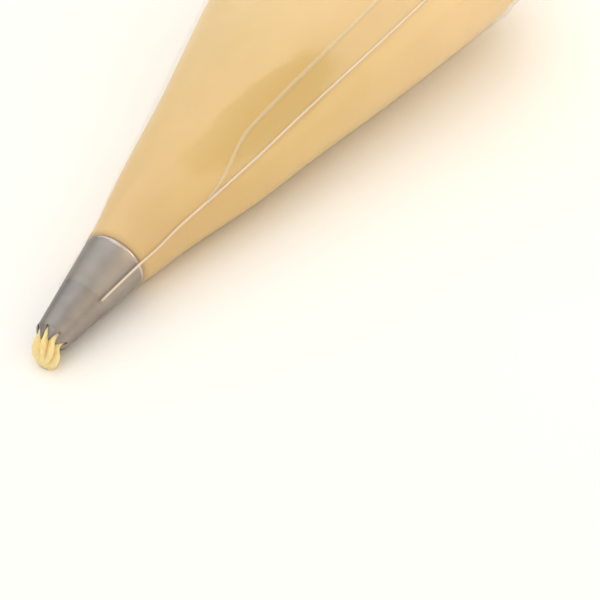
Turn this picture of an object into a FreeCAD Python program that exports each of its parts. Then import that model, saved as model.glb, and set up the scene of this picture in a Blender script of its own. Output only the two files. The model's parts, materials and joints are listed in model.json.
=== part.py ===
"""A filled piping bag with a small star nozzle, lying on its side, closed by a twist behind the cream.

Frame: +X runs from the nozzle to the open end of the film, +Z is up, and the bag lies on z = 0.
The origin is the middle of the bag's footprint: the centre of the bounding box, at its lowest height.
While the pieces are built, x = 0 is the nozzle's base plane on its own axis. They move to the frame at the end.

Bodies: the bag with its cream stands still, the nozzle turns in the film's sleeve about its own axis,
and the free film behind the twist turns about the neck.
"""

import math
import os

import FreeCAD
import Part

V = FreeCAD.Vector

# ---- the bag's film, mm ----
FLAT_TAPER = 0.587  # flat width gained per length along the bag: a flat bag is a long triangle
BAG_LENGTH = 355.0  # from the uncut point to the mouth, along the film: a 14 inch bag
FILM = 0.3  # wall of the film's solids
SECTION_WIDENING = 1.6  # width over height of the lying bag where it is full
ROUND_TO_FLAT = 50.0  # length over which the round sleeve becomes that wide section
SINK = 0.045  # share of the height by which the underside is pressed flat
FULL_LENGTH = 150.0  # from the nozzle's base to the end of the straight cone of cream
FILM_PER_X = 1.02  # film length for each length along the table

# ---- nozzle ----
NOZZLE_BASE_R = 9.0
NOZZLE_SHOULDER_R = 4.75  # where the teeth begin
NOZZLE_CONE = 29.0  # from the base to that shoulder
TOOTH_LENGTH = 3.2  # along the nozzle's axis
NOZZLE_WALL = 0.45
RIM_R = 0.7  # the rolled bead round the base
RIM_STANDS_OUT = 0.15  # how far the bead stands out of the cone
TOOTH_END_R = 2.2  # the teeth lean in to this radius
TEETH = 8
NOTCH_WIDTH = 1.6  # the widest gap between two teeth, at their ends

# ---- fits ----
SLEEVE_CLEARANCE = 0.12  # between the nozzle and the film around it
SLEEVE_LENGTH = 15.5  # the film is cut off this far in front of the nozzle's base
CREAM_CLEARANCE = 0.1  # between cream and the walls that hold it
TURNING_GAP = 0.2  # between the faces of bodies that turn against each other
LIFT = 0.15  # the sleeve's height over the table

# ---- side weld ----
WELD_WIDTH = 1.0
WELD_HEIGHT = 0.25
WELD_STANDS_OFF = 0.3  # between the film and the strip
WELD_STEP = 5.0  # the longest length between two places where the strip is set on the film
WELD_ANGLE = 55.5  # degrees from the top towards -Y, on the wide section's ellipse
WELD_ANGLE_AT_NOZZLE = 69.0
WELD_ANGLE_AT_CUT = 65.5  # at the cut end of the sleeve
WELD_EASING = 45.0  # length over which the weld comes to its last angle

# ---- shoulder, twist and tail ----
SHOULDER_LENGTH = 52.0
NECK_R = 4.8
NECK_LENGTH = 11.0
NECK_HEIGHT = 17.0  # of the twist's axis over the table
GATHERED_LENGTH = 9.0  # the length before the neck in which the gathered film has no hollow
TAIL_HALF_WIDTH = 48.0  # of the open mouth
TAIL_WALL = 1.2  # stands for the film's small pleats
TAIL_PLUG = 9.0  # the length behind the twist in which the gathered film has no hollow

# ---- cream bead ----
BEAD_R = 4.0  # over the ridges, where the cream leaves the teeth
BEAD_VALLEY = 0.68  # the radius between two ridges, as a share of that over them
BEAD_LENGTH = 6.0
CORE_R = 1.55  # the cream between the teeth

ROUND_POINTS = 24  # points that a round section passes through

# ---- worked out ----
NOZZLE_LENGTH = NOZZLE_CONE + TOOTH_LENGTH
NOZZLE_CONE_R = NOZZLE_BASE_R - RIM_STANDS_OUT  # the wall's outer radius level with the bead
NOZZLE_SLOPE = math.atan((NOZZLE_CONE_R - NOZZLE_SHOULDER_R) / (NOZZLE_CONE - RIM_R))
SLEEVE_INNER_R = NOZZLE_BASE_R + SLEEVE_CLEARANCE + RIM_R * math.tan(NOZZLE_SLOPE)  # in the base plane
SLEEVE_OUTER_R = SLEEVE_INNER_R + FILM
BASE_HEIGHT = SLEEVE_OUTER_R * math.cos(NOZZLE_SLOPE) + LIFT
BASE_FILM_POSITION = math.pi * SLEEVE_OUTER_R / FLAT_TAPER  # film length from the uncut point
NECK_X = FULL_LENGTH + SHOULDER_LENGTH
TAIL_X = NECK_X + NECK_LENGTH + TURNING_GAP
SHOULDER_FILM = 1.28 * SHOULDER_LENGTH  # the film runs inwards as well as along
TAIL_LENGTH = 0.93 * (
    BAG_LENGTH - BASE_FILM_POSITION - FILM_PER_X * FULL_LENGTH - SHOULDER_FILM - NECK_LENGTH
)
AXIS_TO_TIP = V(-math.cos(NOZZLE_SLOPE), 0, -math.sin(NOZZLE_SLOPE))
BASE_CENTRE = V(0, 0, BASE_HEIGHT)


# ---------------------------------------------------------------- the film's sections
def half_axes(x):
    """Half width and half height of the lying bag at x: an ellipse whose rim is the film's flat rim."""
    share = min(1.0, x / ROUND_TO_FLAT)
    widening = 1 + (SECTION_WIDENING - 1) * share * share * (3 - 2 * share)
    rim = 2 * FLAT_TAPER * (BASE_FILM_POSITION + FILM_PER_X * x)
    flatness = ((widening - 1) / (widening + 1)) ** 2
    ramanujan = 1 + 3 * flatness / (10 + math.sqrt(4 - 3 * flatness))
    half_height = rim / (math.pi * (1 + widening) * ramanujan)
    return widening * half_height, half_height


def round_wire(half_width, half_height, place):
    """A closed smooth wire through points of an ellipse, built in the XY plane and then placed."""
    points = []
    for i in range(ROUND_POINTS):
        angle = 2 * math.pi * i / ROUND_POINTS
        points.append(V(half_width * math.cos(angle), half_height * math.sin(angle), 0))
    curve = Part.BSplineCurve()
    curve.interpolate(Points=points, PeriodicFlag=True, Parameters=list(range(ROUND_POINTS + 1)))
    edge = curve.toShape()
    edge.Placement = place
    return Part.Wire([edge])


ACROSS = FreeCAD.Rotation(V(1, 1, 1), 120)  # turns local X to Y, Y to Z and Z to X


def ellipse(x, half_width, half_height, centre_height):
    """A section in the plane x that starts at +Y."""
    return round_wire(half_width, half_height, FreeCAD.Placement(V(x, 0, centre_height), ACROSS))


def base_circle(radius, along=0.0):
    """A circle round the nozzle's axis, that far in front of the nozzle's base plane."""
    lean = FreeCAD.Rotation(V(0, 1, 0), -math.degrees(NOZZLE_SLOPE))
    centre = BASE_CENTRE + AXIS_TO_TIP * along
    return round_wire(radius, radius, FreeCAD.Placement(centre, lean.multiply(ACROSS)))


def lying_section(x, offset):
    half_width, half_height = half_axes(x)
    sunk = SINK * half_height
    return ellipse(x, half_width + offset, half_height + sunk / 2 + offset, half_height - sunk / 2)


def shoulder_section(share, offset):
    """A section of the shoulder: share 0 is the full bag and 1 the neck."""
    half_width, half_height = half_axes(FULL_LENGTH)
    fall = math.cos(math.pi * share / 2) ** 1.15
    wide = NECK_R + (half_width - NECK_R) * fall
    high = NECK_R + (half_height - NECK_R) * fall
    centre = NECK_HEIGHT + (half_height - NECK_HEIGHT) * fall
    return ellipse(FULL_LENGTH + SHOULDER_LENGTH * share, wide + offset, high + offset, centre)


CONE_STATIONS = (14, 32, 50, 75, 100, 125, 150)
SHOULDER_SHARES = (0.2, 0.42, 0.64, 0.84, 1.0)


def stations():
    """The cone's section places, scaled to its full length."""
    return [x * FULL_LENGTH / CONE_STATIONS[-1] for x in CONE_STATIONS]


def bag_outside(offset=0.0):
    """The bag's outer shape from the nozzle's base plane to the neck, before the table presses it flat."""
    wires = [base_circle(SLEEVE_OUTER_R + offset)]
    wires += [lying_section(x, offset) for x in stations()]
    wires += [shoulder_section(share, offset) for share in SHOULDER_SHARES]
    return Part.makeLoft(wires, True, False)


def bag_inside(shrink):
    """The space for the cream: the outer shape less the film, up to the gathered film before the neck."""
    hollow = bag_outside(-shrink)
    return hollow.cut(Part.makeBox(200, 200, 200, V(NECK_X - GATHERED_LENGTH, -100, -50)))


def above(shape, height):
    """What of the shape lies above that height."""
    box = Part.makeBox(1000, 400, 200, V(-300, -200, height))
    return shape.common(box)


def along_nozzle(shape):
    """Places a shape built along +Z from the nozzle's base on the nozzle's leaning axis."""
    placed = shape.copy()
    turn = FreeCAD.Rotation(V(0, 0, 1), AXIS_TO_TIP)
    placed.Placement = FreeCAD.Placement(BASE_CENTRE, turn).multiply(placed.Placement)
    return placed


# ---------------------------------------------------------------- the pieces
def sleeve(inner_r, outer_r):
    """The film's cone around the nozzle, between two radii in the nozzle's base plane."""
    narrowing = SLEEVE_LENGTH * math.tan(NOZZLE_SLOPE)
    inner, outer = (
        Part.makeLoft([base_circle(r), base_circle(r - narrowing, SLEEVE_LENGTH)], True, True)
        for r in (inner_r, outer_r)
    )
    return outer.cut(inner)


def make_film_cone():
    outside = above(bag_outside(), 0.0)
    hollow = above(bag_inside(FILM), FILM)
    return outside.cut(hollow).fuse(sleeve(SLEEVE_INNER_R, SLEEVE_OUTER_R))


def weld_rectangle(film, axis, centre, half_width, half_height, angle):
    """A small rectangle across the weld, set on the film at the ellipse's point at that angle from its top."""
    level = V(0, -1, 0)
    upright = level.cross(axis)
    sine, cosine = math.sin(math.radians(angle)), math.cos(math.radians(angle))
    outwards = (level * (half_height * sine) + upright * (half_width * cosine)).normalize()
    beside = centre + level * (half_width * sine) + upright * (half_height * cosine) + outwards * 2
    foot = film.distToShape(Part.Vertex(beside))[1][0][0]
    outwards = (beside - foot).normalize()
    along_rim = outwards.cross(axis).normalize()
    corners = []
    for height, side in ((0, -1), (0, 1), (1, 1), (1, -1), (0, -1)):
        rise = WELD_STANDS_OFF + WELD_HEIGHT * height
        corners.append(foot + outwards * rise + along_rim * (side * WELD_WIDTH / 2))
    return Part.makePolygon(corners)


def make_side_weld(film):
    """A thin strip that follows the film from the cut end of the sleeve to the end of the cone."""
    wires = []
    for share in (1.0, 0.5, 0.0):
        along = share * SLEEVE_LENGTH
        radius = SLEEVE_OUTER_R - along * math.tan(NOZZLE_SLOPE)
        angle = WELD_ANGLE_AT_NOZZLE + share * (WELD_ANGLE_AT_CUT - WELD_ANGLE_AT_NOZZLE)
        centre = BASE_CENTRE + AXIS_TO_TIP * along
        wires.append(weld_rectangle(film, AXIS_TO_TIP * -1, centre, radius, radius, angle))
    steps = math.ceil(FULL_LENGTH / WELD_STEP)
    for step in range(1, steps + 1):
        x = FULL_LENGTH * step / steps
        half_width, half_height = half_axes(x)
        sunk = SINK * half_height
        share = min(1.0, x / WELD_EASING)
        eased = share * share * (3 - 2 * share)
        angle = WELD_ANGLE_AT_NOZZLE + eased * (WELD_ANGLE - WELD_ANGLE_AT_NOZZLE)
        centre = V(x, 0, half_height - sunk / 2)
        wires.append(weld_rectangle(film, V(1, 0, 0), centre, half_width, half_height + sunk / 2, angle))
    return Part.makeLoft(wires, True, True)


def wall_profile(points):
    """A closed face in the XZ plane, x the radius, to be turned round the Z axis."""
    return Part.Face(Part.makePolygon([V(r, 0, z) for r, z in points + points[:1]]))


def make_nozzle():
    """The conical wall, the leaning teeth and the rolled base rim, made from one sheet."""
    outer = [(NOZZLE_CONE_R, RIM_R), (NOZZLE_SHOULDER_R, NOZZLE_CONE)]
    lean = TOOTH_LENGTH / 3
    knee_r = NOZZLE_SHOULDER_R - 0.22 * (NOZZLE_SHOULDER_R - TOOTH_END_R)
    elbow_r = NOZZLE_SHOULDER_R - 0.58 * (NOZZLE_SHOULDER_R - TOOTH_END_R)
    outer += [
        (knee_r, NOZZLE_CONE + lean),
        (elbow_r, NOZZLE_CONE + 2 * lean),
        (TOOTH_END_R, NOZZLE_LENGTH),
    ]
    inner = [(r - NOZZLE_WALL, z - 0.15 * NOZZLE_WALL * (z > NOZZLE_CONE)) for r, z in reversed(outer)]
    inner[0] = (TOOTH_END_R - NOZZLE_WALL, NOZZLE_LENGTH - NOZZLE_WALL)
    wall = wall_profile(outer + inner).revolve(V(0, 0, 0), V(0, 0, 1), 360)
    rim = Part.makeTorus(NOZZLE_BASE_R - RIM_R, RIM_R, V(0, 0, RIM_R))
    body = wall.fuse(rim)
    half = NOTCH_WIDTH / 2
    apex = V(0, 0, NOZZLE_CONE - 0.1 * TOOTH_LENGTH)
    ends = [V(0, y, NOZZLE_LENGTH + z) for y, z in ((half, 0), (half, 1), (-half, 1), (-half, 0))]
    notch = Part.Face(Part.makePolygon([apex, *ends, apex])).extrude(V(NOZZLE_BASE_R, 0, 0))
    for tooth in range(TEETH):
        cutter = notch.copy()
        cutter.rotate(V(0, 0, 0), V(0, 0, 1), (tooth + 0.5) * 360 / TEETH)
        body = body.cut(cutter)
    return along_nozzle(body)


def bead_section(height, radius):
    """A closed smooth star wire with one ridge for each gap between the teeth."""
    points = []
    for i in range(2 * TEETH):
        r = radius if i % 2 else radius * BEAD_VALLEY
        angle = math.pi * i / TEETH
        points.append(V(r * math.cos(angle), r * math.sin(angle), height))
    curve = Part.BSplineCurve()
    curve.interpolate(Points=points, PeriodicFlag=True)
    return Part.Wire([curve.toShape()])


def make_cream_star():
    """The cream that fills the nozzle, passes between the teeth and leaves as a ridged bead."""
    gap = NOZZLE_WALL + CREAM_CLEARANCE
    base_r = NOZZLE_BASE_R - 2 * RIM_R - CREAM_CLEARANCE
    profile = [
        (0, 0),
        (base_r, 0),
        (base_r, 2 * RIM_R),
        (NOZZLE_CONE_R - gap - 2 * RIM_R * math.tan(NOZZLE_SLOPE), 2 * RIM_R + 0.2),
        (NOZZLE_SHOULDER_R - gap - 0.05, NOZZLE_CONE),
        (CORE_R, NOZZLE_LENGTH - 1.6),
        (CORE_R, NOZZLE_LENGTH + 0.4),
        (0, NOZZLE_LENGTH + 0.4),
    ]
    core = wall_profile(profile).revolve(V(0, 0, 0), V(0, 0, 1), 360)
    start = NOZZLE_LENGTH + CREAM_CLEARANCE
    bead = Part.makeLoft(
        [
            bead_section(start, BEAD_R * 0.93),
            bead_section(start + 0.3 * BEAD_LENGTH, BEAD_R),
            bead_section(start + 0.75 * BEAD_LENGTH, BEAD_R * 0.8),
            bead_section(start + BEAD_LENGTH, BEAD_R * 0.35),
        ],
        True,
        False,
    )
    return along_nozzle(core.fuse(bead))


def make_cream_fill():
    """The cream behind the nozzle, clear of the film and of the nozzle's turning base."""
    room = above(bag_inside(FILM + CREAM_CLEARANCE), FILM + CREAM_CLEARANCE)
    turning_room = Part.makeCylinder(2 * NOZZLE_BASE_R, 10 * TURNING_GAP, V(0, 0, -TURNING_GAP))
    return room.cut(along_nozzle(turning_room))


def make_neck_twist():
    return Part.makeCylinder(NECK_R, NECK_LENGTH, V(NECK_X, 0, NECK_HEIGHT), V(1, 0, 0))


def tail_section(share, inset):
    """A section of the free film: share 0 at the twist and 1 at the open mouth."""
    spread = share**0.8
    wide = NECK_R + (TAIL_HALF_WIDTH - NECK_R) * spread
    high = NECK_R + (NECK_HEIGHT - NECK_R) * spread
    return ellipse(TAIL_X + TAIL_LENGTH * share, wide - inset, high - inset, NECK_HEIGHT)


def make_tail_film():
    """The free film: a flat funnel, gathered to the twist at one end and open at the mouth."""
    outside = Part.makeLoft([tail_section(s, 0) for s in (0, 0.12, 0.35, 0.65, 1)], True, False)
    start = TAIL_PLUG / TAIL_LENGTH
    shares = [start + (1.0 - start) * s for s in (0, 0.3, 0.65, 1)]
    inside = Part.makeLoft([tail_section(s, TAIL_WALL) for s in shares], True, False)
    beyond = ellipse(TAIL_X + TAIL_LENGTH, TAIL_HALF_WIDTH - TAIL_WALL, NECK_HEIGHT - TAIL_WALL, NECK_HEIGHT)
    mouth = Part.Face(beyond).extrude(V(1, 0, 0))
    return outside.cut(inside.fuse(mouth))


def main():
    film_cone = make_film_cone()
    pieces = {
        "film_cone": film_cone,
        "side_weld": make_side_weld(film_cone),
        "cream_fill": make_cream_fill(),
        "neck_twist": make_neck_twist(),
        "tail_film": make_tail_film(),
        "nozzle": make_nozzle(),
        "cream_star": make_cream_star(),
    }
    box = Part.makeCompound(list(pieces.values())).optimalBoundingBox(False, False)
    shift = V(-(box.XMin + box.XMax) / 2, 0, 0)
    os.makedirs("parts", exist_ok=True)
    for name, shape in pieces.items():
        shape.translate(shift)
        print(f"{name}: {len(shape.Solids)} solid(s), valid {shape.isValid()}, {shape.Volume / 1000:.2f} cm3")
        shape.exportStep(f"parts/{name}.step")
    print(f"shift {shift.x:.4f}, box x {box.XMin:.3f}..{box.XMax:.3f} z {box.ZMin:.3f}..{box.ZMax:.3f}")
    print(f"nozzle axis from {BASE_CENTRE + shift} towards {AXIS_TO_TIP}, slope {math.degrees(NOZZLE_SLOPE):.3f}")
    print(f"twist axis at z {NECK_HEIGHT}, neck x {NECK_X + shift.x:.3f}, tail x {TAIL_X + shift.x:.3f}")


main()
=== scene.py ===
"""The finished look of a clear film piping bag full of cream, with a steel star nozzle.

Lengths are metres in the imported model's frame: +X from the nozzle to the open end, +Z up, table at z = 0.
Along the bag, "behind" is the distance from the nozzle's base plane towards the open end, and "turn" is
the angle round a section from its top towards the side weld.
"""

import json
import math

import bmesh
import bpy
from mathutils import Matrix, Vector, noise


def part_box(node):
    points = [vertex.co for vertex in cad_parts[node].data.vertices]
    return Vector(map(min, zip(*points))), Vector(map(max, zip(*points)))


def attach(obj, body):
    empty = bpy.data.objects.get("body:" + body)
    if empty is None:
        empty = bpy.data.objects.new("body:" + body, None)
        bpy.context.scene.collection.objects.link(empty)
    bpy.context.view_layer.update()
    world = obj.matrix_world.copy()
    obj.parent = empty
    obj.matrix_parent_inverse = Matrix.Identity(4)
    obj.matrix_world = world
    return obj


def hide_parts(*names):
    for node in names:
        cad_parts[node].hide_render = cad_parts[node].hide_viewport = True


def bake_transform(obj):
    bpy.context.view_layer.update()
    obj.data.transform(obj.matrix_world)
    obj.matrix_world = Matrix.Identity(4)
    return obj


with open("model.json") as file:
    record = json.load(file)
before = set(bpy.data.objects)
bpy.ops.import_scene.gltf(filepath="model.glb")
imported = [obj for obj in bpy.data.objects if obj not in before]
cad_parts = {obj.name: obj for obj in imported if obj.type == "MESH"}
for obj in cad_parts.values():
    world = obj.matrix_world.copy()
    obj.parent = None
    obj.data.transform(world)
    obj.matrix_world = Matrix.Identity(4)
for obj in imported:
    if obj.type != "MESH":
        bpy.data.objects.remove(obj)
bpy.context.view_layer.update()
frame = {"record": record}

# ---------------------------------------------------------------- places given by the frame
JOINTS = {joint["name"]: joint for joint in frame["record"]["behaviour"]["joints"]}
NOZZLE_BASE = Vector(JOINTS["nozzle_turn"]["pos_m"])
NOZZLE_AXIS = Vector(JOINTS["nozzle_turn"]["axis"]).normalized()  # towards the teeth
NECK_LOW, NECK_HIGH = (Vector(corner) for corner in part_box("neck_twist"))
TAIL_HIGH = Vector(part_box("tail_film")[1])
NECK_R = (NECK_HIGH.y - NECK_LOW.y) / 2
NECK_Z = (NECK_HIGH.z + NECK_LOW.z) / 2
NECK_START = NECK_LOW.x - NOZZLE_BASE.x
NECK_END = NECK_HIGH.x - NOZZLE_BASE.x
MOUTH = TAIL_HIGH.x - NOZZLE_BASE.x
TAIL_HALF_WIDTH = TAIL_HIGH.y

# ---------------------------------------------------------------- the bag's driving sizes
FLAT_TAPER = 0.587  # flat width gained per length of film
FILM_PER_X = 1.02  # length of film per length along the bag
SECTION_WIDENING = 1.6  # width of the wide sections over their height
ROUND_TO_FLAT = 0.050  # length over which the round sleeve becomes wide
SINK = 0.045  # share of its half height that a section is pressed into the table
FULL = 0.150  # behind the nozzle, where the straight cone ends
UPRIGHT = 0.014  # behind the nozzle, where the sections stand upright
SHOULDER_POWER = 1.15  # higher falls sooner from the cone to the neck
TAIL_POWER = 0.8  # lower spreads sooner from the neck to the mouth
SLEEVE_LENGTH = 0.0155
NOZZLE_SLOPE = math.asin(-NOZZLE_AXIS.z)
SLEEVE_R = 0.00952  # outside the film, in the nozzle's base plane
FILM_THICKNESS = 0.00012

# ---------------------------------------------------------------- the film's unevenness
TWIST = 1.6  # radians that the gathered film is twisted in all
TWIST_REACH = 0.012  # how far the twist is felt on each side of the neck
PLEATS_START = FULL - 0.02
FINE_PLEATS = 11  # half the number round the section
FINE_PLEAT_MEAN = 0.64
FINE_PLEAT_DEPTHS = (
    (PLEATS_START, 0),
    (FULL + 0.03, 0.0018),
    (NECK_START, 0.0011),
    (NECK_END, 0.0011),
    (NECK_END + 0.03, 0.0014),
    (MOUTH, 0.0004),
)
LOOSE_PLEAT_DEPTHS = (
    (PLEATS_START, 0),
    (FULL + 0.02, 0.0008),
    (NECK_START, 0.0002),
    (NECK_END, 0.0002),
    (MOUTH, 0.0034),
)
BROAD_WAVE, TIGHT_WAVE = 0.00035, 0.00009
LIES_OVER = 0.0014  # how far the side with the weld lies over
PRESS = 0.0008  # the softness of the film's edge where it lies flat on the table
MOUTH_SCALLOP = 0.0025

# ---------------------------------------------------------------- the cream's sizes
CREAM_INSET = 0.0004  # from the film's outside to the cream
CREAM_START = 0.0003
CREAM_END = NECK_START - 0.010
CREAM_ROUNDING = 0.022  # length of the cream's rounded rear end
CREAM_RELIEF = 0.85  # share of the film's pleats that the cream takes
GATHER_INSET = 0.0013  # further inset under the gathered film
SIDE_INSET = 0.0010  # further inset on the side away from the weld


def smooth(share):
    share = min(1.0, max(0.0, share))
    return share * share * (3 - 2 * share)


def mix(a, b, share):
    return a + (b - a) * share


def rounded_end(share, power=2.0):
    """The share of the radius left on a rounded end: 1 before it starts and exactly 0 at its pole."""
    share = min(1.0, max(0.0, share) + 1e-6)
    return max(0.0, 1 - share**power) ** (1 / power)


def through(x, knots):
    """The value at x on smooth steps through (x, value) knots."""
    for (x0, v0), (x1, v1) in zip(knots, knots[1:]):
        if x < x1:
            return mix(v0, v1, smooth((x - x0) / (x1 - x0)))
    return knots[-1][1]


# ---------------------------------------------------------------- the film's form
def half_axes(behind):
    """Half width and half height of a free section, from the film's length round it."""
    widening = 1 + (SECTION_WIDENING - 1) * smooth(behind / ROUND_TO_FLAT)
    rim = 2 * math.pi * SLEEVE_R + 2 * FLAT_TAPER * FILM_PER_X * behind
    flatness = ((widening - 1) / (widening + 1)) ** 2
    ellipse = 1 + 3 * flatness / (10 + math.sqrt(4 - 3 * flatness))
    half_height = rim / (math.pi * (1 + widening) * ellipse)
    return widening * half_height, half_height


def section(behind):
    """Centre height, half width and half height of the bag at that place."""
    if behind <= FULL:
        wide, high = half_axes(max(0.0, behind))
        sunk = SINK * high
        upright = smooth(behind / UPRIGHT)
        return mix(NOZZLE_BASE.z, high - sunk / 2, upright), wide, high + upright * sunk / 2
    if behind <= NECK_START:
        fall = math.cos(math.pi / 2 * (behind - FULL) / (NECK_START - FULL)) ** SHOULDER_POWER
        wide, high = half_axes(FULL)
        return mix(NECK_Z, high, fall), mix(NECK_R, wide, fall), mix(NECK_R, high, fall)
    spread = max(0.0, (behind - NECK_END) / (MOUTH - NECK_END)) ** TAIL_POWER
    return NECK_Z, mix(NECK_R, TAIL_HALF_WIDTH, spread), mix(NECK_R, NECK_Z, spread)


def swirl(behind):
    """How far the gathered film has been twisted round the neck."""
    return TWIST * smooth((behind - NECK_START + TWIST_REACH) / (NECK_END - NECK_START + 2 * TWIST_REACH))


def pleats(behind, turn):
    """How far the gathered film stands in or out of the smooth form. The phases make it uneven."""
    if behind < PLEATS_START:
        return 0.0
    twisted = turn + swirl(behind)
    fine = abs(math.cos(FINE_PLEATS * twisted + 0.7 * math.sin(3 * twisted))) - FINE_PLEAT_MEAN
    loose = 0.6 * math.cos(5 * twisted + 1.0 + 0.5 * math.sin(2 * twisted))
    loose += 0.4 * math.cos(8 * twisted - 0.7)
    return through(behind, FINE_PLEAT_DEPTHS) * fine + through(behind, LOOSE_PLEAT_DEPTHS) * loose


def waves(behind, turn):
    """The soft unevenness of film pressed out by cream."""
    round_y, round_z = math.cos(turn), math.sin(turn)
    broad = BROAD_WAVE * noise.noise(Vector((behind * 28, 1.3 * round_y, 1.3 * round_z)))
    tight = TIGHT_WAVE * noise.noise(Vector((behind * 30, 9 * round_y, 9 * round_z)))
    return (broad + tight) * smooth(behind / 0.02)


def bag_point(behind, turn, inset=0.0, relief=1.0):
    """A point on the film, moved in by inset, with that share of its pleats."""
    centre_z, wide, high = section(behind)
    lean = NOZZLE_SLOPE * (1 - smooth(behind / UPRIGHT))
    lies_over = LIES_OVER * smooth((behind - 0.05) / 0.07) * (1 - smooth((behind - FULL) / 0.04))
    grow = waves(behind, turn) + relief * pleats(behind, turn) - inset
    grow += lies_over * max(0.0, math.sin(turn)) ** 2
    if behind < 0:
        grow += behind * math.tan(NOZZLE_SLOPE)
        centre = NOZZLE_BASE - NOZZLE_AXIS * behind
    else:
        centre = Vector((NOZZLE_BASE.x + behind, 0, centre_z))
    across = -max(0.0, wide + grow) * math.sin(turn)
    up = max(0.0, high + grow) * math.cos(turn)
    point = centre + Vector((-up * math.sin(lean), across, up * math.cos(lean)))
    press = PRESS * smooth(behind / 0.03)
    rise = point.z - inset
    point.z = inset + (rise + math.sqrt(rise * rise + press * press)) / 2 if press else point.z
    return point


# ---------------------------------------------------------------- mesh tools
def open_tube(columns, rows):
    """A tube of radius 1 along X, from 0 to 1, in even rows."""
    bm = bmesh.new()
    bmesh.ops.create_circle(bm, segments=columns, radius=1, matrix=Matrix.Rotation(math.pi / 2, 4, "Y"))
    far = bmesh.ops.extrude_edge_only(bm, edges=bm.edges[:])["geom"]
    bmesh.ops.translate(bm, verts=[v for v in far if isinstance(v, bmesh.types.BMVert)], vec=(1, 0, 0))
    rails = [e for e in bm.edges if abs(e.verts[0].co.x - e.verts[1].co.x) > 0.5]
    bmesh.ops.subdivide_edges(bm, edges=rails, cuts=rows - 1)
    return bm


def strip(columns, rows):
    """A flat strip, X from 0 to 1 in rows and Y from 0 to 1 in columns."""
    bm = bmesh.new()
    bmesh.ops.create_grid(bm, x_segments=rows, y_segments=columns, size=0.5)
    bmesh.ops.translate(bm, verts=bm.verts[:], vec=(0.5, 0.5, 0))
    return bm


def spin(bm, steps):
    """Turns the whole profile once round Z."""
    profile = bm.verts[:] + bm.edges[:]
    bmesh.ops.spin(
        bm, geom=profile, cent=(0, 0, 0), axis=(0, 0, 1), angle=2 * math.pi, steps=steps, use_merge=True
    )


def shaped(bm, place):
    """Moves every point to where place(point) says."""
    for vert in bm.verts:
        vert.co = place(vert.co.copy())
    return bm


def turn_of(point):
    return math.atan2(-point.y, point.z)


def piece(name, bm, material, body):
    """Makes a smooth object of the mesh, with its normals outwards."""
    bmesh.ops.remove_doubles(bm, verts=bm.verts[:], dist=1e-6)
    bmesh.ops.dissolve_degenerate(bm, edges=bm.edges[:], dist=1e-7)
    bmesh.ops.recalc_face_normals(bm, faces=bm.faces[:])
    mesh = bpy.data.meshes.new(name)
    bm.to_mesh(mesh)
    bm.free()
    mesh.polygons.foreach_set("use_smooth", [True] * len(mesh.polygons))
    mesh.materials.append(material)
    obj = bpy.data.objects.new(name, mesh)
    bpy.context.scene.collection.objects.link(obj)
    if body:
        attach(obj, body)
    return obj


def thicken(obj, thickness):
    """Gives a sheet its thickness, inwards from its face."""
    wall = obj.modifiers.new("wall", "SOLIDIFY")
    wall.thickness = thickness
    wall.offset = -1


# ---------------------------------------------------------------- material tools
def new_material(name):
    material = bpy.data.materials.new(name)
    material.use_nodes = True
    tree = material.node_tree
    return material, tree, tree.nodes["Principled BSDF"]


def set_inputs(node, **values):
    """Sets a node's inputs, named with _ for each space."""
    for name, value in values.items():
        node.inputs[name.replace("_", " ")].default_value = value


def add(tree, kind, settings=None, **inputs):
    """Adds a node. An input may be a value or another node's output socket."""
    made = tree.nodes.new(kind)
    for name, value in (settings or {}).items():
        setattr(made, name, value)
    for name, value in inputs.items():
        socket = made.inputs[name.replace("_", " ")]
        if isinstance(value, bpy.types.NodeSocket):
            tree.links.new(value, socket)
        else:
            socket.default_value = value
    return made


def ramp(tree, factor, stops):
    made = add(tree, "ShaderNodeValToRGB", Fac=factor)
    made.color_ramp.elements.remove(made.color_ramp.elements[1])
    for i, (place, colour) in enumerate(stops):
        stop = made.color_ramp.elements[0] if i == 0 else made.color_ramp.elements.new(place)
        stop.position = place
        stop.color = (*colour, 1)
    return made.outputs["Color"]


def blend_colours(tree, factor, a, b, kind="MIX"):
    made = tree.nodes.new("ShaderNodeMix")
    made.data_type = "RGBA"
    made.blend_type = kind
    for socket, value in ((made.inputs[0], factor), (made.inputs[6], a), (made.inputs[7], b)):
        if isinstance(value, bpy.types.NodeSocket):
            tree.links.new(value, socket)
        else:
            socket.default_value = value
    return made.outputs[2]


def placed_coordinates(tree, centre=(0, 0, 0), turn=(0, 0, 0), size=(1, 1, 1)):
    """Object coordinates about a centre, turned, with that size as one unit."""
    source = add(tree, "ShaderNodeTexCoord").outputs["Object"]
    mapping = add(tree, "ShaderNodeMapping", {"vector_type": "TEXTURE"}, Vector=source)
    set_inputs(mapping, Location=centre, Rotation=turn, Scale=size)
    return mapping.outputs["Vector"]


def bump(tree, shader, height, strength, distance):
    made = add(tree, "ShaderNodeBump", Height=height, Strength=strength, Distance=distance)
    tree.links.new(made.outputs["Normal"], shader.inputs["Normal"])


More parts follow.
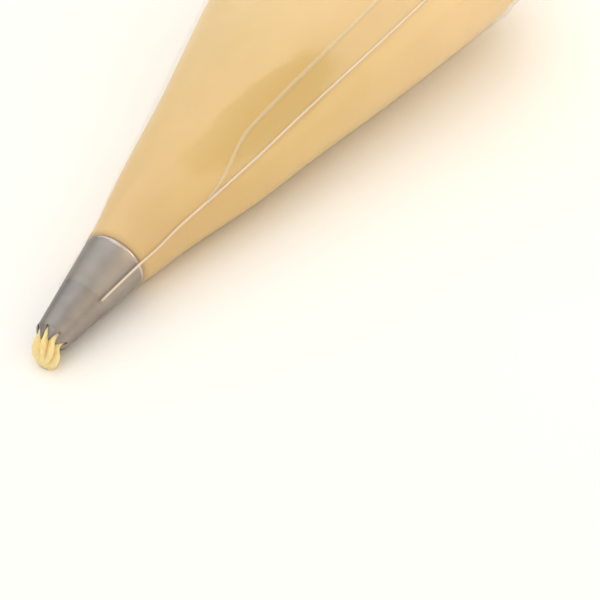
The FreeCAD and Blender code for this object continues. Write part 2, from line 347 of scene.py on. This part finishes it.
# ---------------------------------------------------------------- materials
CREAM_AND_PAINTED_SHEEN_ALONG = (  # its colour from the nozzle to where the straight cone ends: deeper near the nozzle and paler towards the end, where the last stop is partly painted sheen of the film seen at a grazing angle
    (0.0, (0.69, 0.475, 0.195)),
    (0.2, (0.72, 0.50, 0.19)),
    (0.5, (0.75, 0.545, 0.23)),
    (0.8, (0.82, 0.605, 0.315)),
)
PATCH_BEHIND, PATCH_TURN = 0.064, 28  # the middle of the ochre patch, in metres and degrees
PATCH_SIZE = (0.034, 0.0085, 0.02)
PATCH_COLOUR = (0.62, 0.41, 0.105, 1)
STEEL_PAINTED_REFLECTION_AND_SHADE = (  # painted light on the steel, from the side of the weld to the other: a warm painted reflection of the cream on the side of the weld, and painted shade that darkens the far side
    (0.0, (1.0, 0.91, 0.84)),
    (0.28, (1.0, 0.93, 0.87)),
    (0.42, (0.86, 0.83, 0.81)),
    (0.62, (0.72, 0.71, 0.71)),
    (0.9, (0.58, 0.59, 0.60)),
)


def clear_film(name, colour, alpha, roughness):
    material, tree, shader = new_material(name)
    set_inputs(shader, Roughness=roughness, IOR=1.5, Alpha=alpha)
    stretched = placed_coordinates(tree, size=(3, 1, 1))
    fine = add(tree, "ShaderNodeTexNoise", Vector=stretched, Scale=260.0, Detail=3.0)
    tint = ramp(tree, fine.outputs["Fac"], ((0.3, tuple(0.96 * c for c in colour)), (0.7, colour)))
    tree.links.new(tint, shader.inputs["Base Color"])
    bump(tree, shader, fine.outputs["Fac"], 0.25, 0.0002)
    material.surface_render_method = "BLENDED"
    return material


def cream_under_film():
    material, tree, shader = new_material("cream_under_film")
    along = add(tree, "ShaderNodeSeparateXYZ", Vector=placed_coordinates(tree)).outputs["X"]
    cone_start, cone_end = NOZZLE_BASE.x, NOZZLE_BASE.x + FULL
    share = add(tree, "ShaderNodeMapRange", Value=along, From_Min=cone_start, From_Max=cone_end)
    # The cream's tone along the cone; its paler far end is partly painted sheen of the film.
    base = ramp(tree, share.outputs["Result"], CREAM_AND_PAINTED_SHEEN_ALONG)
    stretched = placed_coordinates(tree, size=(2, 1, 1))
    clouds = add(tree, "ShaderNodeTexNoise", Vector=stretched, Scale=45.0, Detail=4.0, Roughness=0.55)
    shade = ramp(tree, clouds.outputs["Fac"], ((0.3, (0.84, 0.80, 0.70)), (0.7, (1, 1, 1))))
    mottled = blend_colours(tree, 0.55, base, shade, "MULTIPLY")
    patch_place = bag_point(PATCH_BEHIND, math.radians(PATCH_TURN))
    smear = placed_coordinates(tree, patch_place, (0, 0, math.radians(-14)), PATCH_SIZE)
    wobble = add(tree, "ShaderNodeTexNoise", Vector=smear, Scale=2.5, Detail=3.0)
    moved = add(tree, "ShaderNodeVectorMath", {"operation": "MULTIPLY_ADD"})
    tree.links.new(wobble.outputs["Color"], moved.inputs[0])
    moved.inputs[1].default_value = (0.5, 0.5, 0.5)
    tree.links.new(smear, moved.inputs[2])
    ball = add(tree, "ShaderNodeTexGradient", {"gradient_type": "SPHERICAL"}, Vector=moved.outputs["Vector"])
    fade = ((0.0, (0, 0, 0)), (0.22, (0.75, 0.75, 0.75)), (0.5, (0.95, 0.95, 0.95)))
    strength = ramp(tree, ball.outputs["Fac"], fade)
    colour = blend_colours(tree, strength, mottled, PATCH_COLOUR)
    tree.links.new(colour, shader.inputs["Base Color"])
    set_inputs(shader, Roughness=0.38, Subsurface_Weight=0.25)
    set_inputs(shader, Subsurface_Radius=(1.0, 0.7, 0.35), Subsurface_Scale=0.003)
    bump(tree, shader, clouds.outputs["Fac"], 0.2, 0.0008)
    return material


def fresh_cream():
    material, tree, shader = new_material("fresh_cream")
    grain = add(tree, "ShaderNodeTexNoise", Vector=placed_coordinates(tree), Scale=700.0, Detail=3.0)
    tint = ramp(tree, grain.outputs["Fac"], ((0.3, (0.82, 0.66, 0.30)), (0.7, (0.90, 0.76, 0.40))))
    tree.links.new(tint, shader.inputs["Base Color"])
    set_inputs(shader, Roughness=0.42, Subsurface_Weight=0.4)
    set_inputs(shader, Subsurface_Radius=(1.0, 0.75, 0.35), Subsurface_Scale=0.0015)
    bump(tree, shader, grain.outputs["Fac"], 0.15, 0.0002)
    return material


def steel(name, shade, least_dull, most_dull):
    material, tree, shader = new_material(name)
    turned = placed_coordinates(tree, NOZZLE_BASE, (0, -NOZZLE_SLOPE, 0), (0.02, 1, 1))
    rings = add(tree, "ShaderNodeTexNoise", Vector=turned, Scale=90.0, Detail=5.0)
    blotches = add(tree, "ShaderNodeTexNoise", Vector=placed_coordinates(tree), Scale=220.0, Detail=3.0)
    dark = (0.92 * shade, 0.88 * shade, 0.86 * shade)
    light = (1.06 * shade, 1.02 * shade, shade)
    tint = ramp(tree, blotches.outputs["Fac"], ((0.3, dark), (0.7, light)))
    # Painted light across the steel: a warm painted reflection of the cream on the side of the weld, and
    # painted shade darkening the other side.
    across = add(tree, "ShaderNodeSeparateXYZ", Vector=placed_coordinates(tree)).outputs["Y"]
    side = add(tree, "ShaderNodeMapRange", Value=across, From_Min=-0.009, From_Max=0.007)
    painted_reflection_and_shade = ramp(tree, side.outputs["Result"], STEEL_PAINTED_REFLECTION_AND_SHADE)
    tree.links.new(blend_colours(tree, 1.0, tint, painted_reflection_and_shade, "MULTIPLY"), shader.inputs["Base Color"])
    set_inputs(shader, Metallic=1.0)
    ring_share = rings.outputs["Fac"]
    dull = add(tree, "ShaderNodeMapRange", Value=ring_share, To_Min=least_dull, To_Max=most_dull)
    tree.links.new(dull.outputs["Result"], shader.inputs["Roughness"])
    bump(tree, shader, rings.outputs["Fac"], 0.12, 0.0001)
    return material


FILM = clear_film("clear_film", (0.95, 0.91, 0.80), 0.045, 0.15)
GATHERED_FILM = clear_film("gathered_film", (0.90, 0.90, 0.87), 0.26, 0.18)
WELD = clear_film("pressed_weld", (1.0, 0.86, 0.72), 0.55, 0.25)
FLAP = clear_film("film_flap", (0.90, 0.80, 0.60), 0.02, 0.22)
FOLD = clear_film("film_fold", (1.0, 0.90, 0.70), 0.28, 0.25)
CREAM = cream_under_film()
FRESH = fresh_cream()
# The satin steel's shade of 0.37, darker than the rim's, is painted shade that stands in for the darker
# surroundings the cone reflects.
STEEL = steel("satin_steel", 0.37, 0.34, 0.48)
RIM_STEEL = steel("polished_rim", 0.62, 0.12, 0.2)

# ---------------------------------------------------------------- the film bag
FILM_COLUMNS = 168
SPANS = (  # rows of faces between places behind the nozzle
    (-SLEEVE_LENGTH, 8, 0.0),
    (0.0, 58, FULL),
    (FULL, 62, NECK_START),
    (NECK_START, 26, NECK_END),
    (NECK_END, 62, MOUTH),
)
GATHERED_FROM = CREAM_END - 0.002  # behind the nozzle, where the film shows as gathered


def row_places():
    places = [SPANS[0][0]]
    for start, rows, end in SPANS:
        places += [mix(start, end, (i + 1) / rows) for i in range(rows)]
    return places


def make_film():
    places = row_places()
    rows = len(places) - 1

    def place(point):
        behind = places[round(point.x * rows)]
        turn = turn_of(point)
        made = bag_point(behind, turn)
        if behind > NECK_END:
            share = (behind - NECK_END) / (MOUTH - NECK_END)
            uneven = 1 + math.cos(3 * turn + 0.6) + 0.5 * math.sin(7 * turn)
            made.x -= MOUTH_SCALLOP * share**4 * uneven
        return made

    film = piece("film_bag", shaped(open_tube(FILM_COLUMNS, rows), place), FILM, None)
    film.data.materials.append(GATHERED_FILM)
    for face in film.data.polygons:
        face.material_index = face.center.x - NOZZLE_BASE.x > GATHERED_FROM
    thicken(film, FILM_THICKNESS)
    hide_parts("film_cone", "neck_twist", "tail_film")
    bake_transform(film)


# ---------------------------------------------------------------- weld and its flap
WELD_TURNS = ((-0.002, 69.0), (0.050, 54.4), (0.100, 55.8))  # degrees, by the place behind the nozzle
SLEEVE_TURN = 250  # degrees that the weld turns per metre of sleeve
WELD_HALF_WIDTH, WELD_HEIGHT = 0.0003, 0.00025
FOLD_HALF_WIDTH, FOLD_HEIGHT = 0.00055, 0.0004
LINE_LIFT = 0.00002  # between the film and a raised line
FLAP_START, FLAP_END = 0.018, FULL + 0.03
FOLD_START, FOLD_END = 0.024, FULL + 0.01
FLAP_ROWS = 90
FLAP_TURN = 21.5  # degrees from the weld to the fold where the flap is widest
FLAP_NARROWS = 70  # degrees that the flap loses per metre after that
FLAP_LIFT = 0.00012  # between the film and the flap
FLAP_EDGE_LIFT = 0.00035  # further lift near its folded edge


def weld_turn(behind):
    return math.radians(through(behind, WELD_TURNS) + SLEEVE_TURN * min(0.0, behind))


def crease_turn(behind):
    """Where the folded edge of the film outside the weld lies."""
    folded = FLAP_TURN * smooth((behind - 0.020) / 0.028) - FLAP_NARROWS * max(0.0, behind - 0.046)
    return weld_turn(behind) - math.radians(folded)


def flap_edge_turn(behind):
    """The folded edge, which comes back to the weld behind the straight cone."""
    return mix(crease_turn(behind), weld_turn(behind), smooth((behind - FULL + 0.01) / 0.04))


def raised_line(name, material, places, turn_at, half_width, height):
    """A narrow raised sheet that follows the film along a line."""
    rows = len(places) - 1

    def place(point):
        behind = places[round(point.x * rows)]
        side = 2 * point.y - 1
        _, wide, high = section(behind)
        turn = turn_at(behind) + side * half_width / mix(wide, high, 0.3)
        return bag_point(behind, turn, -height * (1 - side * side) - LINE_LIFT)

    return piece(name, shaped(strip(6, rows), place), material, None)


def make_weld():
    weld = raised_line("weld_strip", WELD, row_places(), weld_turn, WELD_HALF_WIDTH, WELD_HEIGHT)
    thicken(weld, FILM_THICKNESS)
    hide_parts("side_weld")
    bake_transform(weld)


def make_flap():
    """The film outside the weld, which lies back against the bag up to its folded edge."""

    def place(point):
        behind = mix(FLAP_START, FLAP_END, point.x)
        turn = mix(weld_turn(behind), flap_edge_turn(behind), point.y)
        near_edge = smooth(4 * (point.y - 0.75)) * smooth(16 * (1.02 - point.y))
        return bag_point(behind, turn, -(FLAP_LIFT + FLAP_EDGE_LIFT * near_edge))

    flap = piece("weld_flap", shaped(strip(14, FLAP_ROWS), place), FLAP, "bag")
    flap.data.flip_normals()
    places = [mix(FOLD_START, FOLD_END, i / FLAP_ROWS) for i in range(FLAP_ROWS + 1)]
    fold = raised_line("flap_fold", FOLD, places, flap_edge_turn, FOLD_HALF_WIDTH, FOLD_HEIGHT)
    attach(fold, "bag")


# ---------------------------------------------------------------- the cream in the bag
CREAM_COLUMNS, CREAM_ROWS = 120, 120


def make_cream():
    def place(point):
        behind = mix(CREAM_START, CREAM_END, point.x)
        gather = smooth((behind - PLEATS_START) / 0.04)
        left = rounded_end((behind - CREAM_END + CREAM_ROUNDING) / CREAM_ROUNDING)
        turn = turn_of(point)
        loose = SIDE_INSET * max(0.0, -math.sin(turn)) ** 2 * smooth((behind - 0.01) / 0.05)
        made = bag_point(behind, turn, CREAM_INSET + loose + GATHER_INSET * gather, CREAM_RELIEF)
        centre = Vector((made.x, 0, section(behind)[0]))
        return centre + (made - centre) * left

    bm = shaped(open_tube(CREAM_COLUMNS, CREAM_ROWS), place)
    near_nozzle = NOZZLE_BASE.x + 0.01
    front = [e for e in bm.edges if e.is_boundary and max(v.co.x for v in e.verts) < near_nozzle]
    bmesh.ops.contextual_create(bm, geom=front)
    cream = piece("cream_mass", bm, CREAM, "bag")
    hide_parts("cream_fill")


# ---------------------------------------------------------------- the nozzle
TO_NOZZLE = Matrix.Translation(NOZZLE_BASE) @ NOZZLE_AXIS.to_track_quat("Z", "Y").to_matrix().to_4x4()
BASE_R, CONE_R, SHOULDER_R = 0.009, 0.00885, 0.00475
CONE_LENGTH, TIP = 0.0290, 0.0322
LAST_CONE_ROW = CONE_LENGTH - 0.0008
TOOTH_END_R = 0.0022
TOOTH_POWER = 1.2  # higher leans the teeth in later
RIM_R = 0.0007
TEETH = 8
SHEET = 0.00045
COLUMNS_PER_TOOTH = 13  # one of each is the gap
NOTCH_RUN_IN = 0.0005  # how far before the teeth the notches begin
NOTCH_OPENING = 0.42  # share of a tooth's width that is lost at its end
TOOTH_ROUNDING = 0.0016  # how much shorter a tooth's corners are than its middle


def tooth_radius(height):
    share = (height - CONE_LENGTH) / (TIP - CONE_LENGTH)
    return SHOULDER_R - (SHOULDER_R - TOOTH_END_R) * share**TOOTH_POWER


def make_nozzle():
    """One pressed sheet: a cone that ends in teeth which lean in, and a rolled bead round the base."""
    cone = [(mix(CONE_R, SHOULDER_R, i / 10), mix(RIM_R, LAST_CONE_ROW, i / 10)) for i in range(11)]
    teeth = [(tooth_radius(h), h) for h in (mix(CONE_LENGTH, TIP, i / 9) for i in range(10))]
    steps = TEETH * COLUMNS_PER_TOOTH
    bm = bmesh.new()
    profile = [bm.verts.new((radius, 0, height)) for radius, height in cone + teeth]
    for a, b in zip(profile, profile[1:]):
        bm.edges.new((a, b))
    spin(bm, steps)
    bmesh.ops.remove_doubles(bm, verts=bm.verts[:], dist=1e-7)
    pitch = 2 * math.pi / TEETH
    column = 2 * math.pi / steps

    def tooth_share(angle):
        """Where an angle lies on its tooth, from -1 to 1, and the tooth's middle."""
        middle = (math.floor(angle / pitch) + 0.5) * pitch
        return (angle - middle) / (pitch / 2), middle

    gaps = []
    for face in bm.faces:
        centre = face.calc_center_median()
        share, _ = tooth_share(math.atan2(centre.y, centre.x) - column / 2)
        if centre.z > CONE_LENGTH - 0.0002 and abs(share) > 1 - 1.01 * column / pitch:
            gaps.append(face)
    bmesh.ops.delete(bm, geom=gaps, context="FACES")

    def open_notches(point):
        if point.z < CONE_LENGTH - NOTCH_RUN_IN:
            return point
        radius = math.hypot(point.x, point.y)
        share, middle = tooth_share(math.atan2(point.y, point.x) - column / 2)
        open_share = (point.z - CONE_LENGTH + NOTCH_RUN_IN) / (TIP - CONE_LENGTH + NOTCH_RUN_IN)
        angle = middle + column / 2 + share * pitch / 2 * (1 - NOTCH_OPENING * open_share)
        height = point.z - TOOTH_ROUNDING * open_share**2 * share**2
        return Vector((radius * math.cos(angle), radius * math.sin(angle), height))

    shaped(bm, open_notches)
    bmesh.ops.transform(bm, matrix=TO_NOZZLE, verts=bm.verts[:])
    shell = piece("nozzle_shell", bm, STEEL, "nozzle")
    thicken(shell, SHEET)
    edges = shell.modifiers.new("worn_edges", "BEVEL")
    edges.width = 0.0001
    edges.segments = 3
    edges.limit_method = "ANGLE"
    edges.angle_limit = math.radians(50)
    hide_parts("nozzle")

    rim = bmesh.new()
    stands = Matrix.Translation((BASE_R - RIM_R, 0, RIM_R)) @ Matrix.Rotation(math.pi / 2, 4, "X")
    bmesh.ops.create_circle(rim, segments=20, radius=RIM_R, matrix=stands)
    spin(rim, 120)
    bmesh.ops.transform(rim, matrix=TO_NOZZLE, verts=rim.verts[:])
    piece("nozzle_rim", rim, RIM_STEEL, "nozzle")


# ---------------------------------------------------------------- the bead of cream
BEAD_START = 0.019  # along the nozzle, inside it
BEAD_LENGTH = 0.0166
BEAD_COLUMNS, BEAD_ROWS = 128, 70
BEAD_CLEARANCE = 0.0003  # from the sheet's inside
BEAD_R_AT_TEETH, BEAD_R = 0.0034, 0.0044
BEAD_END = 0.83  # share of the length after which the bead rounds off
RIDGE_DEPTH = 0.46  # share of the radius that is lost between the ridges
RIDGE_POWER = 1.3  # higher makes narrower ridges
DROOP_START = 0.0025  # before the tip
DROOP = 90  # metres of fall per square metre of length
BEAD_LEAN = 0.0014  # sideways, towards the weld
TABLE_GAP = 0.0001
BEAD_PRESS = 0.0004  # the softness of the bead where it lies on the table


def make_bead():
    """Cream inside the nozzle that swells out through the notches into ridges and sags to the table."""

    def place(point):
        along = BEAD_START + BEAD_LENGTH * point.x
        turn = math.atan2(point.y, point.z)
        beyond = along - TIP
        out = smooth((along - CONE_LENGTH + 0.0005) / 0.004)
        inside = mix(CONE_R, SHOULDER_R, along / CONE_LENGTH) - SHEET - BEAD_CLEARANCE
        radius = mix(inside, BEAD_R_AT_TEETH, smooth((along - CONE_LENGTH) / 0.003))
        radius = mix(radius, BEAD_R, smooth((beyond + 0.0018) / 0.003))
        radius *= rounded_end((point.x - BEAD_END) / (1 - BEAD_END), 2.4)
        ridge = abs(math.cos(TEETH * turn / 2)) ** RIDGE_POWER
        radius *= 1 - RIDGE_DEPTH * out * (1 - ridge)
        made = TO_NOZZLE @ Vector((radius * math.cos(turn), radius * math.sin(turn), along))
        droop = max(0.0, beyond + DROOP_START)
        made.z -= DROOP * droop * droop
        made.y -= BEAD_LEAN * smooth(droop / 0.006)
        rise = made.z - TABLE_GAP
        made.z = TABLE_GAP + (rise + math.sqrt(rise * rise + BEAD_PRESS**2)) / 2
        return made

    bm = shaped(open_tube(BEAD_COLUMNS, BEAD_ROWS), place)
    back = [e for e in bm.edges if e.is_boundary and e.calc_length() > 1e-6]
    bmesh.ops.contextual_create(bm, geom=back)
    bead = piece("cream_bead", bm, FRESH, "nozzle")
    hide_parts("cream_star")


make_film()
make_weld()
make_flap()
make_cream()
make_nozzle()
make_bead()

# ---------------------------------------------------------------- table, light and camera
SKY = ((0.0, (0.56, 0.50, 0.44)), (0.3, (0.93, 0.87, 0.79)), (0.9, (0.98, 0.925, 0.85)))  # horizon first
CAMERA_AZIMUTH, CAMERA_ELEVATION = -60.009, 42.412  # degrees
CAMERA_DISTANCE = 0.442928
AIM_RIGHT, AIM_DOWN = 0.048266, 0.003523  # in the view, from under the nozzle's base


def make_table():
    material, tree, shader = new_material("white_table")
    speckle = add(tree, "ShaderNodeTexNoise", Vector=placed_coordinates(tree), Scale=8.0, Detail=2.0)
    tint = ramp(tree, speckle.outputs["Fac"], ((0.3, (0.935, 0.93, 0.92)), (0.7, (0.95, 0.947, 0.94))))
    tree.links.new(tint, shader.inputs["Base Color"])
    set_inputs(shader, Roughness=0.6)
    bm = bmesh.new()
    bmesh.ops.create_grid(bm, x_segments=1, y_segments=1, size=2.5)
    mesh = bpy.data.meshes.new("table")
    bm.to_mesh(mesh)
    bm.free()
    mesh.materials.append(material)
    table = bpy.data.objects.new("table", mesh)
    bpy.context.scene.collection.objects.link(table)


def make_lamp(name, place, aim, size, power, colour):
    data = bpy.data.lights.new(name, "AREA")
    data.shape = "DISK"
    data.size = size
    data.energy = power
    data.color = colour
    lamp = bpy.data.objects.new(name, data)
    lamp.location = place
    lamp.rotation_euler = (Vector(aim) - Vector(place)).to_track_quat("-Z", "Y").to_euler()
    bpy.context.scene.collection.objects.link(lamp)


def make_sky():
    """Even warm light that fades towards the horizon."""
    world = bpy.data.worlds.new("studio")
    world.use_nodes = True
    tree = world.node_tree
    direction = add(tree, "ShaderNodeTexCoord").outputs["Generated"]
    height = add(tree, "ShaderNodeSeparateXYZ", Vector=direction).outputs["Z"]
    tree.links.new(ramp(tree, height, SKY), tree.nodes["Background"].inputs["Color"])
    bpy.context.scene.world = world


def make_camera():
    azimuth, elevation = math.radians(CAMERA_AZIMUTH), math.radians(CAMERA_ELEVATION)
    level = math.cos(elevation)
    back = Vector((math.sin(azimuth) * level, -math.cos(azimuth) * level, math.sin(elevation)))
    right = Vector((math.cos(azimuth), math.sin(azimuth), 0))
    up = back.cross(right)
    data = bpy.data.cameras.new("camera")
    data.lens = 100
    data.sensor_width = 36
    data.clip_start = 0.01
    camera = bpy.data.objects.new("camera", data)
    aim = Vector((NOZZLE_BASE.x, 0, 0)) + right * AIM_RIGHT - up * AIM_DOWN
    turn = Matrix((right, up, back)).transposed()
    camera.matrix_world = Matrix.Translation(aim + back * CAMERA_DISTANCE) @ turn.to_4x4()
    bpy.context.scene.collection.objects.link(camera)
    bpy.context.scene.camera = camera


make_table()
make_lamp("window", (0.35, 0.55, 0.9), (-0.05, 0, 0), 1.5, 3.5, (0.90, 0.955, 1.0))
make_lamp("fill", (-0.9, 0.1, 0.8), (-0.05, 0, 0.02), 0.8, 1.0, (0.98, 0.99, 1.0))
make_lamp("warm_bounce", (0.10, -0.30, 0.22), (0.02, -0.05, 0), 0.25, 0.24, (1.0, 0.76, 0.38))
make_sky()
make_camera()
bpy.context.scene.view_settings.view_transform = "Standard"
